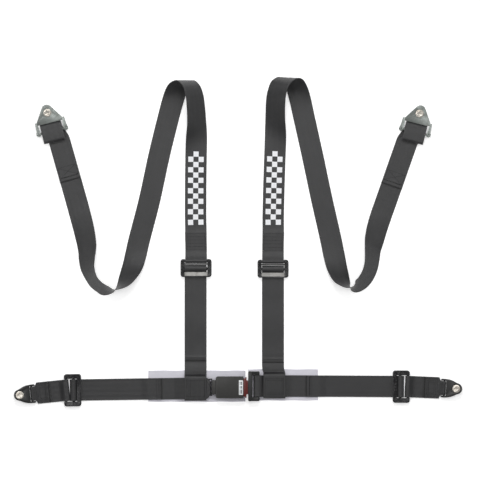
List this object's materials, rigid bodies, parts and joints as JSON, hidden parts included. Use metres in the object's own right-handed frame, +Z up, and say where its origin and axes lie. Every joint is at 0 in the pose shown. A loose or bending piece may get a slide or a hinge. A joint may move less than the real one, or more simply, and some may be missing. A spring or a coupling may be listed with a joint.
{
  "type": "racing harness",
  "caption": "Push-button racing harness laid flat: lap and shoulder webbing with tilt-lock adjusters, a centre buckle and bolt-on anchor fittings.",
  "frame": {"origin": "middle of the laid-out harness on the table it lies on", "axes": "+X to the right along the lap straps, +Y up the shoulder straps, +Z up from the table"},
  "size_m": [1.0429, 0.766, 0.0721],
  "materials": {
    "webbing": "woven polyester, semi matt",
    "pad_fabric": "ribbed knit, matt",
    "adjuster_steel": "black enamel, glossy",
    "zinc_steel": "zinc plated, satin",
    "bolt_zinc": "yellow zinc plated, satin",
    "boot_rubber": "moulded rubber, satin",
    "black_plastic": "fine grained moulding",
    "button_red": "satin red moulding",
    "label_white": "printed, satin",
    "ejector_plastic": "natural moulding",
    "mechanism_steel": "plain stamped steel"
  },
  "bodies": {
    "left_half": {"backing_pad_left": "pad_fabric", "lap_strap_left": "webbing", "anchor_strap_left": "webbing", "shoulder_lower_strap_left": "webbing", "shoulder_upper_strap_left": "webbing", "buckle_upper_cover": "black_plastic", "buckle_lower_cover": "black_plastic", "buckle_label": "label_white", "buckle_frame": "adjuster_steel", "latch_pin": "mechanism_steel", "latch_spring": "mechanism_steel", "ejector_spring": "mechanism_steel"},
    "right_half": {"backing_pad_right": "pad_fabric", "lap_strap_right": "webbing", "anchor_strap_right": "webbing", "shoulder_lower_strap_right": "webbing", "shoulder_upper_strap_right": "webbing", "tongue_plate": "mechanism_steel", "tongue_grip": "black_plastic"},
    "release_button": {"release_button": "button_red"},
    "latch": {"latch_plate": "mechanism_steel"},
    "ejector": {"ejector": "ejector_plastic"},
    "shoulder_adjuster_left": {"shoulder_adjuster_frame_left": "adjuster_steel"},
    "shoulder_lock_bar_left": {"shoulder_lock_bar_left": "adjuster_steel"},
    "lap_adjuster_left": {"lap_adjuster_frame_left": "adjuster_steel"},
    "lap_lock_bar_left": {"lap_lock_bar_left": "adjuster_steel"},
    "shoulder_bracket_left": {"shoulder_bracket_left": "zinc_steel", "shoulder_bracket_bar_left": "zinc_steel"},
    "shoulder_bolt_left": {"shoulder_bolt_left": "bolt_zinc"},
    "lap_anchor_left": {"anchor_plate_left": "adjuster_steel", "anchor_boot_left": "boot_rubber"},
    "lap_bolt_left": {"lap_bolt_left": "bolt_zinc"},
    "shoulder_adjuster_right": {"shoulder_adjuster_frame_right": "adjuster_steel"},
    "shoulder_lock_bar_right": {"shoulder_lock_bar_right": "adjuster_steel"},
    "lap_adjuster_right": {"lap_adjuster_frame_right": "adjuster_steel"},
    "lap_lock_bar_right": {"lap_lock_bar_right": "adjuster_steel"},
    "shoulder_bracket_right": {"shoulder_bracket_right": "zinc_steel", "shoulder_bracket_bar_right": "zinc_steel"},
    "shoulder_bolt_right": {"shoulder_bolt_right": "bolt_zinc"},
    "lap_anchor_right": {"anchor_plate_right": "adjuster_steel", "anchor_boot_right": "boot_rubber"},
    "lap_bolt_right": {"lap_bolt_right": "bolt_zinc"}
  },
  "joints": [
    {"name": "tongue_slide", "type": "slide", "parent": "left_half", "child": "right_half", "axis": [1, 0, 0], "range_m": [0, 0.06]},
    {"name": "button_press", "type": "slide", "parent": "left_half", "child": "release_button", "axis": [-1, 0, 0], "range_m": [0, 0.004], "stiffness_N_per_m": 900},
    {"name": "latch_lift", "type": "hinge", "parent": "left_half", "child": "latch", "pos_m": [-0.038, -0.3376, 0.0186], "axis": [0, -1, 0], "range_deg": [0, 4.6]},
    {"name": "ejector_slide", "type": "slide", "parent": "left_half", "child": "ejector", "axis": [1, 0, 0], "range_m": [0, 0.006]},
    {"name": "shoulder_adjuster_tilt_left", "type": "hinge", "parent": "left_half", "child": "shoulder_adjuster_left", "pos_m": [-0.0975, -0.044, 0.0066], "axis": [-1, 0, 0], "range_deg": [0, 14]},
    {"name": "shoulder_lock_slide_left", "type": "slide", "parent": "shoulder_adjuster_left", "child": "shoulder_lock_bar_left", "axis": [0, 1, 0], "range_m": [0, 0.002]},
    {"name": "lap_adjuster_tilt_left", "type": "hinge", "parent": "left_half", "child": "lap_adjuster_left", "pos_m": [-0.40045, -0.34509, 0.0066], "axis": [0.0157, -0.9999, 0], "range_deg": [0, 14]},
    {"name": "lap_lock_slide_left", "type": "slide", "parent": "lap_adjuster_left", "child": "lap_lock_bar_left", "axis": [-0.9999, -0.0157, 0], "range_m": [0, 0.002]},
    {"name": "shoulder_bracket_swing_left", "type": "hinge", "parent": "left_half", "child": "shoulder_bracket_left", "pos_m": [-0.432, 0.258, 0.008], "axis": [0.9703, 0.2419, 0], "range_deg": [-60, 100]},
    {"name": "shoulder_bolt_turn_left", "type": "hinge", "parent": "shoulder_bracket_left", "child": "shoulder_bolt_left", "pos_m": [-0.44256, 0.30037, 0.01889], "axis": [0.0585, -0.2347, 0.9703], "continuous": true},
    {"name": "lap_anchor_swing_left", "type": "hinge", "parent": "left_half", "child": "lap_anchor_left", "pos_m": [-0.47954, -0.35313, 0.0062], "axis": [-0.1011, 0.9949, 0], "range_deg": [-20, 20]},
    {"name": "lap_bolt_turn_left", "type": "hinge", "parent": "lap_anchor_left", "child": "lap_bolt_left", "pos_m": [-0.5077, -0.35598, 0.01378], "axis": [0.2575, 0.0262, 0.9659], "continuous": true},
    {"name": "shoulder_adjuster_tilt_right", "type": "hinge", "parent": "right_half", "child": "shoulder_adjuster_right", "pos_m": [0.0815, -0.0455, 0.0066], "axis": [-1, 0, 0], "range_deg": [0, 14]},
    {"name": "shoulder_lock_slide_right", "type": "slide", "parent": "shoulder_adjuster_right", "child": "shoulder_lock_bar_right", "axis": [0, 1, 0], "range_m": [0, 0.002]},
    {"name": "lap_adjuster_tilt_right", "type": "hinge", "parent": "right_half", "child": "lap_adjuster_right", "pos_m": [0.39549, -0.33657, 0.0066], "axis": [0.0052, 1, 0], "range_deg": [0, 14]},
    {"name": "lap_lock_slide_right", "type": "slide", "parent": "lap_adjuster_right", "child": "lap_lock_bar_right", "axis": [1, -0.0052, 0], "range_m": [0, 0.002]},
    {"name": "shoulder_bracket_swing_right", "type": "hinge", "parent": "right_half", "child": "shoulder_bracket_right", "pos_m": [0.4115, 0.2565, 0.008], "axis": [0.9703, -0.2419, 0], "range_deg": [-60, 100]},
    {"name": "shoulder_bolt_turn_right", "type": "hinge", "parent": "shoulder_bracket_right", "child": "shoulder_bolt_right", "pos_m": [0.42206, 0.29887, 0.01889], "axis": [-0.0585, -0.2347, 0.9703], "continuous": true},
    {"name": "lap_anchor_swing_right", "type": "hinge", "parent": "right_half", "child": "lap_anchor_right", "pos_m": [0.47992, -0.34011, 0.0062], "axis": [-0.0419, -0.9991, 0], "range_deg": [-20, 20]},
    {"name": "lap_bolt_turn_right", "type": "hinge", "parent": "lap_anchor_right", "child": "lap_bolt_right", "pos_m": [0.5082, -0.34129, 0.01378], "axis": [-0.2586, 0.0108, 0.9659], "continuous": true}
  ],
  "couplings": [
    {"joint": "latch_lift", "follows": "button_press", "rad_per_m": 20.071},
    {"joint": "ejector_slide", "follows": "tongue_slide", "ratio": 0.1}
  ]
}
